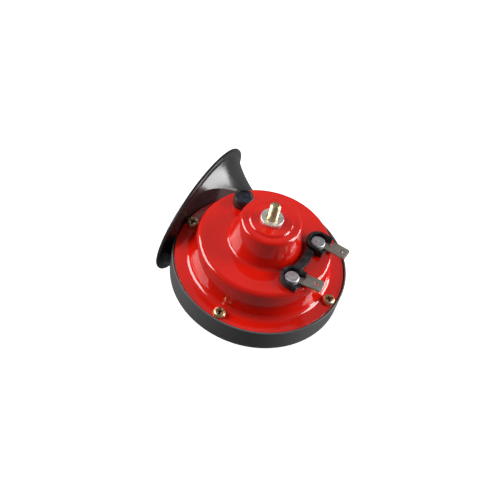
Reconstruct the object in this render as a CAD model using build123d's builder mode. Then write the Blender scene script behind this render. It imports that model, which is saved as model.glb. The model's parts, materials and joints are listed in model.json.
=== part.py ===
from build123d import *
import os
from math import atan2, cos, degrees, exp, hypot, log, pi, radians, sin

# Car horn: a red pressed steel cover over an electromagnet and diaphragm, screwed to a
# black moulded trumpet whose channel winds under the diaphragm and flares into a bell.
# Millimetres. +Z runs out along the fixing stud. The origin is the centre of the washer's
# outer face, where a bracket seats. The bell faces -X and the terminals are on the +X side.

os.makedirs("parts", exist_ok=True)

# ---- cover ----
sheet = 1.0
screw_circle_radius = 37.0
screw_to_edge = 3.0
screw_to_drum = 4.6
drum_height = 16.0
drum_draft = 1.0
drum_base_fillet = 3.0
drum_top_fillet = 2.5
boss_rise = 14.9
boss_base_radius = 16.9
boss_top_radius = 13.9
boss_base_fillet = 2.0
boss_top_fillet = 2.0
pad_rise = 0.7
pad_radius = 10.0
pad_fillet = 0.6

# ---- stud ----
washer_thickness = 1.5
washer_radius = 5.25
stud_radius = 2.45
stud_length = 8.4
stud_chamfer = 0.7
stud_neck_radius = 2.64
stud_neck_rise = 0.1
stud_hole_clearance = 0.1
core_radius = 5.5

# ---- rim screws ----
screw_count = 4
screw_head_radius = 2.9
screw_head_height = 2.1
screw_head_dome = 0.9
screw_shank_radius = 1.45
screw_length = 6.0
screw_recess_width = 0.8
screw_recess_span = 3.2
screw_recess_depth = 1.1
screw_seat_clearance = 0.15
screw_clearance = 0.25
pilot_clearance = 0.05
pilot_end_room = 0.4

# ---- diaphragm stack ----
gasket_thickness = 0.5
screw_to_gasket_bore = 2.0
sheet_hole_clearance = 0.25
diaphragm_thickness = 0.3
bead_from_edge = 20.0
bead_width = 3.0
bead_slope = 1.0
bead_height = 0.6

# ---- trumpet dish ----
chamber_depth = 3.0
floor_thickness = 2.0
lip_gap = 0.3
lip_width = 0.9
lip_rise = 0.4
skirt_depth = 12.0
skirt_draft = 0.6
skirt_wall = 1.4
bell_wall_thickness = 1.3

# ---- trumpet channel ----
channel_wall = 1.6
channel_roof = 0.5
throat_radius = 3.0
channel_exit_radius = 12.2
start_bend_radius = 6.0
inner_turn_radius = 11.0
outer_turn_radius = 21.5
channel_exit_y = 26.0
blind_end = 2.0
mouth_past_bell_wall = 0.9
mouth_y = 16.7
mouth_below_flange = 8.0
mouth_half_width = 38.3
mouth_half_height = 26.8
width_growth = 2.04
height_growth = 2.47
rim_bead_rise = 1.0
rim_bead_thickness = 1.7
rim_bead_fillet = 0.6
mouth_overrun = 1.0
inner_part_stations = 15
outer_part_stations = 9
bell_stations = 9
seam_below_flange = 12.6
seam_neck = 6.0
seam_bend = 25.0
seam_clearance = 0.6
zone_reach = 90.0

# ---- armature and magnet ----
armature_radius = 11.0
armature_thickness = 4.0
armature_neck_radius = 6.0
armature_stem_radius = 2.0
armature_head_radius = 3.0
armature_head_height = 1.0
armature_washer_radius = 6.0
armature_washer_thickness = 0.8
armature_height = 10.7
stem_clearance = 0.1
magnet_gap = 1.0
bobbin_radius = 11.9
bobbin_flange = 0.9
bobbin_wall = 0.8
bobbin_clearance = 0.1
coil_radius = 11.3
coil_plate_radius = 18.6
coil_plate_thickness = 1.2
coil_plate_ear_reach = 23.0
coil_plate_ear_width = 6.0
coil_plate_ear_angles = (0, 90, 270)
lead_hole_radius = 0.9
lead_circle_radius = 9.6

# ---- terminals ----
terminal_x = 20.55
terminal_centre_y = 0.0
terminal_spacing = 25.1
cup_radius = 5.5
cup_wall = 1.15
cup_height = 3.6
cup_floor = 0.9
cup_reach = 4.8
strap_inner_radius = 18.7
strap_width = 3.9
strap_lift = 0.3
strap_thickness = 2.0
spigot_radius = 3.3
spigot_clearance = 0.1
rivet_radius = 1.75
rivet_head_radius = 3.3
rivet_head_height = 1.4
rivet_head_fillet = 0.5
rivet_tail_radius = 2.8
rivet_tail_height = 0.9
rivet_clearance = 0.05
tab_thickness = 0.8
tab_width = 6.3
tab_sheet = 0.5
tab_length = 8.7
tab_start = 5.7
tab_offset = 2.3
tab_neck_width = 3.6
tab_ring_radius = 3.6
tab_tip_chamfer = 0.8
tab_hole_radius = 0.85
tab_hole_from_end = 3.2
near_tab_turn = 8.0
inner_washer_radius = 4.2
inner_washer_thickness = 1.0
tag_thickness = 0.5
tag_radius = 3.4
tag_tail_length = 4.9
tag_tail_width = 2.2

# ---- adjuster ----
adjuster_x = -19.9
adjuster_y = 12.5
collar_radius = 4.55
collar_bore_radius = 3.4
collar_height = 5.5
collar_fillet = 0.6
bush_radius = 3.0
bush_flange_radius = 4.4
bush_flange_thickness = 1.2
bush_bore_radius = 2.05
bush_clearance = 0.1
bush_sink = 1.6
set_screw_radius = 1.95
set_screw_sink = 0.5
set_screw_slot = 0.6
set_screw_slot_depth = 0.9
seal_thickness = 0.8
seal_clearance = 0.05

# ---- contact breaker ----
breaker_x = -22.5
breaker_y = -4.0
blade_thickness = 0.3
blade_lift = 0.3
blade_width = 6.0
arm_thickness = 0.5
arm_width = 5.0
contact_radius = 1.5
contact_height = 0.55
contact_along = 10.8
arm_end_past_screw = 3.0
blade_end_past_contact = 0.6
tail_length = 3.0
tongue_along = 6.5
tongue_width = 3.6
tongue_over_armature = 1.5
block_length = 11.0
block_width = 8.6
upper_insulator_thickness = 1.0
lower_insulator_thickness = 0.8
clamp_plate_thickness = 0.8
bracket_plate_thickness = 1.2
bracket_foot_length = 5.0
bracket_foot_width = 4.3
breaker_rivet_radius = 1.0
breaker_rivet_spacing = 5.6
breaker_rivet_head_radius = 1.8
breaker_rivet_head_height = 0.7
breaker_rivet_clearance = 0.05
breaker_rivet_air_gap = 0.4

# ---- wires ----
wire_radius = 0.4
wire_bend = 1.6
coil_lead_angles = (30, 150)
blade_lead_radius = 16.8
blade_lead_angle = 210
breaker_lead_radius = 25.2
breaker_lead_angles = (218, 244, 272, 299)

# ---- radii that follow the screw circle ----
flange_radius = screw_circle_radius + screw_to_edge
drum_base_radius = screw_circle_radius - screw_to_drum
drum_top_radius = drum_base_radius - drum_draft
gasket_bore_radius = screw_circle_radius - screw_to_gasket_bore
bead_radius = flange_radius - bead_from_edge + bead_width / 2
lip_inner_radius = flange_radius + lip_gap
lip_radius = lip_inner_radius + lip_width
skirt_foot_radius = lip_radius - skirt_draft
bell_wall_radius = lip_inner_radius + bell_wall_thickness
mouth_x = -bell_wall_radius - mouth_past_bell_wall

# ---- levels along Z ----
pad_top = -washer_thickness
boss_top = pad_top - pad_rise
drum_top = boss_top - boss_rise
flange_top = drum_top - drum_height
flange_under = flange_top - sheet
drum_under = drum_top - sheet
boss_under = boss_top - sheet
pad_under = pad_top - sheet
upper_gasket_under = flange_under - gasket_thickness
diaphragm_under = upper_gasket_under - diaphragm_thickness
seat_top = diaphragm_under - gasket_thickness
floor_top = seat_top - chamber_depth
floor_under = floor_top - floor_thickness
seam_z = flange_top - seam_below_flange
mouth_z = flange_top - mouth_below_flange
armature_top = upper_gasket_under + armature_height
armature_under = armature_top - armature_thickness
armature_washer_under = diaphragm_under - armature_washer_thickness
core_under = armature_top + magnet_gap
coil_plate_under = drum_under - coil_plate_thickness
coil_under = drum_under + bobbin_flange
cup_floor_top = drum_top + cup_floor
cup_top = drum_top + cup_height
ring_top = cup_floor_top + tab_sheet
inner_washer_under = drum_under - inner_washer_thickness
tag_under = inner_washer_under - tag_thickness
collar_top = drum_top + collar_height
bush_top = collar_top - bush_sink
blade_under = armature_top + blade_lift
blade_top = blade_under + blade_thickness
arm_top = blade_under - 2 * contact_height
arm_under = arm_top - arm_thickness
bracket_under = blade_top + upper_insulator_thickness
bracket_top = bracket_under + bracket_plate_thickness
clamp_top = arm_under - lower_insulator_thickness
clamp_under = clamp_top - clamp_plate_thickness

screw_places = PolarLocations(screw_circle_radius, screw_count)
terminal_places = [
    (terminal_x, terminal_centre_y + terminal_spacing / 2),
    (terminal_x, terminal_centre_y - terminal_spacing / 2),
]


def finish(solid, name):
    solid.label = name
    export_step(solid, f"parts/{name}.step")


def disc(bottom, height, radius, bore=0, places=((0, 0),)):
    # a plain turned or punched disc at each place, with a bore where it has one
    with BuildPart(mode=Mode.PRIVATE) as solid:
        with BuildSketch(Plane.XY.offset(bottom)):
            with Locations(*places):
                Circle(radius)
                if bore:
                    Circle(bore, mode=Mode.SUBTRACT)
        extrude(amount=height)
    return solid.part


# =====================================================================================
# Cover: one sheet pressed in three steps. The outer line is drawn and thickened inwards.
# =====================================================================================
with BuildPart() as cover:
    with BuildSketch(Plane.XZ):
        with BuildLine() as cover_line:
            FilletPolyline(
                (flange_radius, flange_top),
                (drum_base_radius, flange_top),
                (drum_top_radius, drum_top),
                (boss_base_radius, drum_top),
                (boss_top_radius, boss_top),
                (0, boss_top),
                radius=[drum_base_fillet, drum_top_fillet, boss_base_fillet, boss_top_fillet],
            )
            offset(amount=sheet, side=Side.LEFT)
        make_face()
    revolve(axis=Axis.Z)
    with BuildSketch(Plane.XY.offset(boss_top)):
        Circle(pad_radius)
    extrude(amount=pad_rise)
    fillet(cover.edges().group_by(Axis.Z)[-1], pad_fillet)
    with BuildSketch(Plane.XY.offset(boss_under)):
        Circle(pad_radius - sheet)
    extrude(amount=pad_rise, mode=Mode.SUBTRACT)
    with BuildSketch(Plane.XY.offset(pad_top)):
        Circle(stud_neck_radius + stud_hole_clearance)
    extrude(amount=-2 * sheet, mode=Mode.SUBTRACT)
    with BuildSketch(Plane.XY.offset(flange_top)):
        with screw_places:
            Circle(screw_shank_radius + screw_clearance)
    extrude(amount=-sheet, mode=Mode.SUBTRACT)
    with BuildSketch(Plane.XY.offset(flange_top)):
        with screw_places:
            Circle(screw_head_radius + screw_seat_clearance)
    extrude(amount=screw_head_height, mode=Mode.SUBTRACT)
    with BuildSketch(Plane.XY.offset(drum_top)):
        with Locations(*terminal_places):
            Circle(spigot_radius + spigot_clearance)
        with Locations((adjuster_x, adjuster_y)):
            Circle(bush_radius + bush_clearance)
    extrude(amount=-sheet, mode=Mode.SUBTRACT)
finish(cover.part, "cover")


# =====================================================================================
# Trumpet channel. Its centre line starts at the throat, bends through a quarter turn and
# two half turns of growing radius, and leaves straight along -X. The air section grows
# exponentially with length, its roof level with the dish, and then flares to the mouth.
# =====================================================================================
outer_turn_centre_y = channel_exit_y - outer_turn_radius
inner_turn_centre_y = outer_turn_centre_y - outer_turn_radius + inner_turn_radius
start_bend_centre_y = inner_turn_centre_y + inner_turn_radius - start_bend_radius
start_bend_length = start_bend_radius * pi / 2
inner_turn_length = inner_turn_radius * pi
outer_turn_length = outer_turn_radius * pi
channel_length = start_bend_length + inner_turn_length + outer_turn_length
channel_growth = log(channel_exit_radius / throat_radius) / channel_length


def channel_point(s):
    # plan position and heading angle at the distance s from the throat
    if s < 0:
        return start_bend_radius, start_bend_centre_y + s, pi / 2
    for radius, centre_y, start, length in (
        (start_bend_radius, start_bend_centre_y, 0, start_bend_length),
        (inner_turn_radius, inner_turn_centre_y, pi / 2, inner_turn_length),
        (outer_turn_radius, outer_turn_centre_y, -pi / 2, outer_turn_length),
    ):
        if s <= length:
            turn = start + s / radius
            return radius * cos(turn), centre_y + radius * sin(turn), turn + pi / 2
        s -= length
    return 0, channel_exit_y, pi


def channel_section(s, wall):
    x, y, heading = channel_point(s)
    air_radius = throat_radius * exp(channel_growth * max(s, 0))
    centre_z = floor_under - channel_roof - air_radius
    along = Vector(cos(heading), sin(heading), 0)
    plane = Plane(origin=(x, y, centre_z), x_dir=Vector(0, 0, 1).cross(along), z_dir=along)
    return plane, air_radius + wall


def flare(growth, share):
    return (exp(growth * share) - 1) / (exp(growth) - 1)


def bell_section(share, wall):
    # share runs from 0 at the channel's exit to 1 at the mouth
    across = flare(width_growth, share)
    up = flare(height_growth, share)
    exit_z = floor_under - channel_roof - channel_exit_radius
    exit_outer = channel_exit_radius + channel_wall
    centre_y = channel_exit_y + (mouth_y - channel_exit_y) * across
    centre_z = exit_z + (mouth_z - exit_z) * up
    half_width = exit_outer + (mouth_half_width - rim_bead_rise - exit_outer) * across
    half_height = exit_outer + (mouth_half_height - rim_bead_rise - exit_outer) * up
    plane = Plane(
        origin=(mouth_x * share, centre_y, centre_z), x_dir=(0, -1, 0), z_dir=(-1, 0, 0)
    )
    return plane, half_width - channel_wall + wall, half_height - channel_wall + wall


def channel_solid(wall, start, overrun):
    first_length = start_bend_length + inner_turn_length
    with BuildPart() as solid:
        for i in range(inner_part_stations + 1):
            distance = start + (first_length - start) * i / inner_part_stations
            plane, radius = channel_section(distance, wall)
            with BuildSketch(plane):
                Circle(radius)
        loft()
        for i in range(outer_part_stations + 1):
            distance = first_length + outer_turn_length * i / outer_part_stations
            plane, radius = channel_section(distance, wall)
            with BuildSketch(plane):
                Circle(radius)
        loft()
        for i in range(bell_stations + 1):
            share = i / bell_stations
            plane, half_width, half_height = bell_section(share, wall)
            with BuildSketch(plane):
                Ellipse(half_width, half_height)
        loft()
        if overrun:
            with BuildSketch(plane):
                Ellipse(half_width, half_height)
            extrude(amount=overrun)
    return solid.part


channel_shell = channel_solid(channel_wall, -blind_end - channel_wall, 0)
channel_air = channel_solid(0, -blind_end, mouth_overrun)


# =====================================================================================
# Trumpet, moulded in two halves. The back is the lower half of the winding channel, cut
# off at the seam plane and ahead of the neck. The body is the rest: dish, bell and roof.
# =====================================================================================
seam_points = []
for distance in (seam_neck, seam_bend, -mouth_x):
    plane, half_width, half_height = bell_section(-distance / mouth_x, channel_wall)
    seam_points.append((-distance, plane.origin.Y - half_width - rim_bead_rise - seam_clearance))
with BuildPart() as back_zone:
    with BuildSketch(Plane.XY.offset(seam_z)):
        Circle(zone_reach)
        with BuildLine():
            Polyline(
                (-seam_neck, zone_reach),
                *seam_points,
                (-zone_reach, seam_points[-1][1]),
                (-zone_reach, zone_reach),
                close=True,
            )
        make_face(mode=Mode.SUBTRACT)
    extrude(amount=-zone_reach)

with BuildPart() as trumpet_back:
    add(channel_shell)
    add(back_zone.part, mode=Mode.INTERSECT)
    add(channel_air, mode=Mode.SUBTRACT)
finish(trumpet_back.part, "trumpet_back")

with BuildPart() as bell_air:
    add(channel_air)
    with BuildSketch(Plane.XY.offset(floor_under)):
        Circle(bell_wall_radius)
    extrude(amount=zone_reach, mode=Mode.SUBTRACT)

with BuildPart() as front_channel:
    add(channel_shell)
    add(back_zone.part, mode=Mode.SUBTRACT)
    mouth_plane = Plane(origin=(mouth_x, mouth_y, mouth_z), x_dir=(0, -1, 0), z_dir=(-1, 0, 0))
    with BuildSketch(mouth_plane):
        Ellipse(mouth_half_width, mouth_half_height)
    extrude(amount=-rim_bead_thickness)
    fillet(front_channel.faces().sort_by(Axis.X)[0].edges(), rim_bead_fillet)

throat_x, throat_y = channel_point(0)[:2]
skirt_slope = skirt_draft / (lip_rise + skirt_depth)
skirt_root_radius = lip_radius - skirt_slope * (flange_top + lip_rise - floor_under) - skirt_wall
with BuildPart() as trumpet_body:
    with BuildSketch(Plane.XZ):
        with BuildLine():
            Polyline(
                (0, floor_top),
                (gasket_bore_radius, floor_top),
                (gasket_bore_radius, seat_top),
                (lip_inner_radius, seat_top),
                (lip_inner_radius, flange_top + lip_rise),
                (lip_radius, flange_top + lip_rise),
                (skirt_foot_radius, flange_top - skirt_depth),
                (skirt_foot_radius - skirt_wall, flange_top - skirt_depth),
                (skirt_root_radius, floor_under),
                (0, floor_under),
                close=True,
            )
        make_face()
    revolve(axis=Axis.Z)
    add(front_channel.part)
    with BuildSketch(Plane.XY.offset(seat_top)):
        Circle(lip_inner_radius)
    extrude(amount=zone_reach, mode=Mode.SUBTRACT)
    with BuildSketch(Plane.XY.offset(floor_top)):
        Circle(gasket_bore_radius)
    extrude(amount=chamber_depth, mode=Mode.SUBTRACT)
    add(bell_air.part, mode=Mode.SUBTRACT)
    with BuildSketch(Plane.XY.offset(floor_top)):
        with Locations((throat_x, throat_y)):
            Circle(throat_radius)
    extrude(amount=-floor_thickness - channel_roof - throat_radius, mode=Mode.SUBTRACT)
    with BuildSketch(Plane.XY.offset(seat_top)):
        with screw_places:
            Circle(screw_shank_radius + pilot_clearance)
    extrude(amount=flange_top - screw_length - pilot_end_room - seat_top, mode=Mode.SUBTRACT)
finish(trumpet_body.part, "trumpet_body")


# =====================================================================================
# Rim screws: four pan heads with a cross recess, through the flange into the dish.
# =====================================================================================
with BuildPart() as rim_screws:
    with BuildSketch(Plane.XY.offset(flange_top)):
        with screw_places:
            Circle(screw_head_radius)
    extrude(amount=screw_head_height)
    fillet(rim_screws.edges().group_by(Axis.Z)[-1], screw_head_dome)
    with BuildSketch(Plane.XY.offset(flange_top)):
        with screw_places:
            Circle(screw_shank_radius)
    extrude(amount=-screw_length)
    with BuildSketch(Plane.XY.offset(flange_top + screw_head_height)):
        with screw_places:
            Rectangle(screw_recess_span, screw_recess_width)
            Rectangle(screw_recess_width, screw_recess_span)
    extrude(amount=-screw_recess_depth, mode=Mode.SUBTRACT)
finish(rim_screws.part, "rim_screws")


# =====================================================================================
# Diaphragm between its two gaskets, all punched with the flange's four holes.
# =====================================================================================
for name, bottom in (("upper_gasket", upper_gasket_under), ("lower_gasket", seat_top)):
    with BuildPart() as gasket:
        with BuildSketch(Plane.XY.offset(bottom)):
            Circle(flange_radius)
            Circle(gasket_bore_radius, mode=Mode.SUBTRACT)
            with screw_places:
                Circle(screw_shank_radius + sheet_hole_clearance, mode=Mode.SUBTRACT)
        extrude(amount=gasket_thickness)
    finish(gasket.part, name)

bead_crest = bead_width / 2 - bead_slope
with BuildPart() as diaphragm:
    with BuildSketch(Plane.XZ):
        with BuildLine():
            Polyline(
                (armature_stem_radius + stem_clearance, diaphragm_under),
                (bead_radius - bead_width / 2, diaphragm_under),
                (bead_radius - bead_crest, diaphragm_under + bead_height),
                (bead_radius + bead_crest, diaphragm_under + bead_height),
                (bead_radius + bead_width / 2, diaphragm_under),
                (flange_radius, diaphragm_under),
                (flange_radius, upper_gasket_under),
                (bead_radius + bead_width / 2, upper_gasket_under),
                (bead_radius + bead_crest, upper_gasket_under + bead_height),
                (bead_radius - bead_crest, upper_gasket_under + bead_height),
                (bead_radius - bead_width / 2, upper_gasket_under),
                (armature_stem_radius + stem_clearance, upper_gasket_under),
                close=True,
            )
        make_face()
    revolve(axis=Axis.Z)
    with BuildSketch(Plane.XY.offset(diaphragm_under)):
        with screw_places:
            Circle(screw_shank_radius + sheet_hole_clearance)
    extrude(amount=diaphragm_thickness, mode=Mode.SUBTRACT)
finish(diaphragm.part, "diaphragm")


# =====================================================================================
# Armature: a turned iron disc on a neck, whose stem is peened under the diaphragm.
# =====================================================================================
with BuildPart() as armature:
    with BuildSketch(Plane.XZ):
        with BuildLine():
            Polyline(
                (0, armature_top),
                (armature_radius, armature_top),
                (armature_radius, armature_under),
                (armature_neck_radius, armature_under),
                (armature_neck_radius, upper_gasket_under),
                (armature_stem_radius, upper_gasket_under),
                (armature_stem_radius, armature_washer_under),
                (armature_head_radius, armature_washer_under),
                (armature_head_radius, armature_washer_under - armature_head_height),
                (0, armature_washer_under - armature_head_height),
                close=True,
            )
        make_face()
    revolve(axis=Axis.Z)
    fillet(armature.edges().group_by(Axis.Z)[0], armature_head_height / 2)
finish(armature.part, "armature")

armature_washer = disc(
    armature_washer_under,
    armature_washer_thickness,
    armature_washer_radius,
    armature_stem_radius + stem_clearance,
)
finish(armature_washer, "armature_washer")


# =====================================================================================
# Magnet: the pole and the fixing stud are one turned piece through the cover's pad. Its
# neck ends just above the washer, and the thread stands on the neck.
# =====================================================================================
with BuildPart() as pole_stud:
    with BuildSketch(Plane.XY.offset(core_under)):
        Circle(core_radius)
    extrude(amount=pad_under - core_under)
    with BuildSketch(Plane.XY.offset(pad_under)):
        Circle(stud_neck_radius)
    extrude(amount=stud_neck_rise - pad_under)
    with BuildSketch(Plane.XY.offset(stud_neck_rise)):
        Circle(stud_radius)
    extrude(amount=stud_length - stud_neck_rise)
    chamfer(pole_stud.edges().group_by(Axis.Z)[-1], stud_chamfer)
finish(pole_stud.part, "pole_stud")

stud_washer = disc(
    -washer_thickness, washer_thickness, washer_radius, stud_neck_radius + stud_hole_clearance
)
finish(stud_washer, "stud_washer")

bobbin_bore = core_radius + bobbin_clearance
bobbin_barrel = bobbin_bore + bobbin_wall
bobbin_top = boss_under
lead_places = [
    (lead_circle_radius * cos(radians(angle)), lead_circle_radius * sin(radians(angle)))
    for angle in coil_lead_angles
]
with BuildPart() as bobbin:
    for bottom in (drum_under, bobbin_top - bobbin_flange):
        with BuildSketch(Plane.XY.offset(bottom)):
            Circle(bobbin_radius)
        extrude(amount=bobbin_flange)
    with BuildSketch(Plane.XY.offset(drum_under)):
        Circle(bobbin_barrel)
    extrude(amount=bobbin_top - drum_under)
    with BuildSketch(Plane.XY.offset(drum_under)):
        Circle(bobbin_bore)
    extrude(amount=bobbin_top - drum_under, mode=Mode.SUBTRACT)
    with BuildSketch(Plane.XY.offset(drum_under)):
        with Locations(*lead_places):
            Circle(lead_hole_radius)
    extrude(amount=bobbin_flange, mode=Mode.SUBTRACT)
finish(bobbin.part, "bobbin")

coil = disc(coil_under, bobbin_top - bobbin_flange - coil_under, coil_radius, bobbin_barrel)
finish(coil, "coil")

with BuildPart() as coil_plate:
    with BuildSketch(Plane.XY.offset(coil_plate_under)):
        Circle(coil_plate_radius)
        for angle in coil_plate_ear_angles:
            with Locations(Location((0, 0, 0), (0, 0, angle))):
                with Locations((coil_plate_ear_reach / 2, 0)):
                    Rectangle(coil_plate_ear_reach, coil_plate_ear_width)
        Circle(bobbin_bore, mode=Mode.SUBTRACT)
        with Locations(*lead_places):
            Circle(lead_hole_radius, mode=Mode.SUBTRACT)
    extrude(amount=coil_plate_thickness)
finish(coil_plate.part, "coil_plate")


# =====================================================================================
# Terminals: two open cups on one curved strap, a tab riveted in each whose blade is the
# sheet folded double, and inside the drum an insulating washer and a solder tag on each rivet.
# =====================================================================================
strap_outer_radius = strap_inner_radius + strap_width
strap_to, strap_from = [degrees(atan2(y, x)) for x, y in terminal_places]
with BuildPart() as terminal_insulator:
    with BuildSketch(Plane.XY.offset(drum_top)):
        for x, y in terminal_places:
            with Locations((x, y)):
                Circle(cup_radius)
            with Locations((x + cup_reach / 2, y)):
                Rectangle(cup_reach, 2 * cup_radius)
    extrude(amount=cup_height)
    with BuildSketch(Plane.XY.offset(drum_top + strap_lift)):
        with BuildLine():
            strap_outer = CenterArc((0, 0), strap_outer_radius, strap_from, strap_to - strap_from)
            strap_inner = CenterArc((0, 0), strap_inner_radius, strap_from, strap_to - strap_from)
            Line(strap_outer @ 0, strap_inner @ 0)
            Line(strap_outer @ 1, strap_inner @ 1)
        make_face()
    extrude(amount=strap_thickness)
    with BuildSketch(Plane.XY.offset(cup_floor_top)):
        for x, y in terminal_places:
            with Locations((x, y)):
                Circle(cup_radius - cup_wall)
            with Locations((x + cup_reach, y)):
                Rectangle(2 * cup_reach, 2 * (cup_radius - cup_wall))
    extrude(amount=cup_top - cup_floor_top, mode=Mode.SUBTRACT)
    with BuildSketch(Plane.XY.offset(drum_under)):
        with Locations(*terminal_places):
            Circle(spigot_radius)
    extrude(amount=drum_top - drum_under)
    with BuildSketch(Plane.XY.offset(drum_under)):
        with Locations(*terminal_places):
            Circle(rivet_radius + rivet_clearance)
    extrude(amount=cup_floor_top - drum_under, mode=Mode.SUBTRACT)
finish(terminal_insulator.part, "terminal_insulator")

tab_edge = tab_offset - tab_width / 2
breaker_lead_turns = [
    (breaker_lead_radius * cos(radians(angle)), breaker_lead_radius * sin(radians(angle)))
    for angle in breaker_lead_angles
]
tag_headings = [
    atan2(end[1] - y, end[0] - x)
    for (x, y), end in zip(terminal_places, (lead_places[0], breaker_lead_turns[-1]))
]
for number, place, turn, heading in zip((1, 2), terminal_places, (0, near_tab_turn), tag_headings):
    tab_plane = Plane(origin=(*place, cup_floor_top), x_dir=(cos(radians(turn)), sin(radians(turn)), 0))
    with BuildPart() as tab:
        with BuildSketch(tab_plane):
            Circle(tab_ring_radius)
            with Locations((tab_start / 2, tab_edge + tab_neck_width / 2)):
                Rectangle(tab_start, tab_neck_width)
            Circle(rivet_radius + rivet_clearance, mode=Mode.SUBTRACT)
        extrude(amount=tab_sheet)
        with BuildSketch(tab_plane) as blade_outline:
            with Locations((tab_start + tab_length / 2, tab_offset)):
                Rectangle(tab_length, tab_width)
            tip_corners = blade_outline.vertices().sort_by(Axis((0, 0, 0), tab_plane.x_dir))[-2:]
            chamfer(tip_corners, tab_tip_chamfer)
            with Locations((tab_start + tab_length - tab_hole_from_end, tab_offset)):
                Circle(tab_hole_radius, mode=Mode.SUBTRACT)
        extrude(amount=tab_thickness)
    finish(tab.part, f"terminal_tab_{number}")

    with BuildPart() as terminal_rivet:
        with BuildSketch(Plane.XY.offset(ring_top)):
            with Locations(place):
                Circle(rivet_head_radius)
        extrude(amount=rivet_head_height)
        fillet(terminal_rivet.edges().group_by(Axis.Z)[-1], rivet_head_fillet)
        with BuildSketch(Plane.XY.offset(tag_under)):
            with Locations(place):
                Circle(rivet_radius)
        extrude(amount=ring_top - tag_under)
        with BuildSketch(Plane.XY.offset(tag_under)):
            with Locations(place):
                Circle(rivet_tail_radius)
        extrude(amount=-rivet_tail_height)
    finish(terminal_rivet.part, f"terminal_rivet_{number}")

    inner_washer = disc(
        inner_washer_under,
        inner_washer_thickness,
        inner_washer_radius,
        rivet_radius + rivet_clearance,
        (place,),
    )
    finish(inner_washer, f"inner_washer_{number}")

    tag_plane = Plane(origin=(*place, tag_under), x_dir=(cos(heading), sin(heading), 0))
    with BuildPart() as inner_tag:
        with BuildSketch(tag_plane):
            Circle(tag_radius)
            with Locations((tag_tail_length / 2, 0)):
                Rectangle(tag_tail_length, tag_tail_width)
            Circle(rivet_radius + rivet_clearance, mode=Mode.SUBTRACT)
        extrude(amount=tag_thickness)
    finish(inner_tag.part, f"inner_tag_{number}")


# =====================================================================================
# Adjuster: a threaded bush through the drum top, its set screw, and a sealed collar.
# =====================================================================================
adjuster_place = ((adjuster_x, adjuster_y),)
with BuildPart() as adjuster_collar:
    with BuildSketch(Plane.XY.offset(drum_top)):
        with Locations(*adjuster_place):
            Circle(collar_radius)
            Circle(collar_bore_radius, mode=Mode.SUBTRACT)
    extrude(amount=collar_height)
    outer_top_edge = adjuster_collar.edges().group_by(Axis.Z)[-1].sort_by(SortBy.LENGTH)[-1]
    fillet(outer_top_edge, collar_fillet)
finish(adjuster_collar.part, "adjuster_collar")

with BuildPart() as adjuster_bush:
    with BuildSketch(Plane.XY.offset(drum_under)):
        with Locations(*adjuster_place):
            Circle(bush_radius)
    extrude(amount=bush_top - drum_under)
    with BuildSketch(Plane.XY.offset(drum_under)):
        with Locations(*adjuster_place):
            Circle(bush_flange_radius)
    extrude(amount=-bush_flange_thickness)
    with BuildSketch(Plane.XY.offset(drum_under - bush_flange_thickness)):
        with Locations(*adjuster_place):
            Circle(bush_bore_radius)
    extrude(amount=bush_top - drum_under + bush_flange_thickness, mode=Mode.SUBTRACT)
finish(adjuster_bush.part, "adjuster_bush")

set_screw_top = bush_top - set_screw_sink
with BuildPart() as set_screw:
    with BuildSketch(Plane.XY.offset(arm_top)):
        with Locations(*adjuster_place):
            Circle(set_screw_radius)
    extrude(amount=set_screw_top - arm_top)
    with BuildSketch(Plane.XY.offset(set_screw_top)):
        with Locations(*adjuster_place):
            Rectangle(3 * set_screw_radius, set_screw_slot)
    extrude(amount=-set_screw_slot_depth, mode=Mode.SUBTRACT)
finish(set_screw.part, "set_screw")

adjuster_seal = disc(
    bush_top, seal_thickness, collar_bore_radius - seal_clearance, places=adjuster_place
)
finish(adjuster_seal, "adjuster_seal")


# =====================================================================================
# Contact breaker: a riveted stack on a bracket under the drum top. Its plane runs along
# the springs from the rivets towards the set screw, with +Y outwards.
# =====================================================================================
screw_along = hypot(adjuster_x - breaker_x, adjuster_y - breaker_y)
breaker_dir = ((adjuster_x - breaker_x) / screw_along, (adjuster_y - breaker_y) / screw_along, 0)
rivet_alongs = GridLocations(breaker_rivet_spacing, 0, 2, 1)


def breaker_plane(level):
    return Plane(origin=(breaker_x, breaker_y, level), x_dir=breaker_dir)


def breaker_point(along, across, level):
    point = breaker_plane(level).from_local_coords(Vector(along, across, 0))
    return point.X, point.Y, point.Z


for name, bottom, top in (
    ("breaker_upper_insulator", blade_top, bracket_under),
    ("breaker_middle_insulator", arm_top, blade_under),
    ("breaker_lower_insulator", clamp_top, arm_under),
    ("breaker_clamp_plate", clamp_under, clamp_top),
):
    with BuildPart() as block:
        with BuildSketch(breaker_plane(bottom)):
            Rectangle(block_length, block_width)
            with rivet_alongs:
                Circle(breaker_rivet_radius + breaker_rivet_clearance, mode=Mode.SUBTRACT)
        extrude(amount=top - bottom)
    finish(block.part, name)

with BuildPart() as breaker_bracket:
    with BuildSketch(breaker_plane(bracket_under)):
        Rectangle(block_length, block_width)
        with rivet_alongs:
            Circle(breaker_rivet_radius + breaker_rivet_clearance, mode=Mode.SUBTRACT)
    extrude(amount=bracket_plate_thickness)
    leg_along = -block_length / 2 - bracket_plate_thickness
    foot_across = -block_width / 2 + bracket_foot_width / 2
    with BuildSketch(breaker_plane(bracket_under)):
        with Locations((leg_along + bracket_plate_thickness / 2, foot_across)):
            Rectangle(bracket_plate_thickness, bracket_foot_width)
    extrude(amount=drum_under - bracket_under)
    with BuildSketch(breaker_plane(drum_under)):
        with Locations((leg_along + bracket_plate_thickness - bracket_foot_length / 2, foot_across)):
            Rectangle(bracket_foot_length, bracket_foot_width)
    extrude(amount=-bracket_plate_thickness)
finish(breaker_bracket.part, "breaker_bracket")

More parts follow.
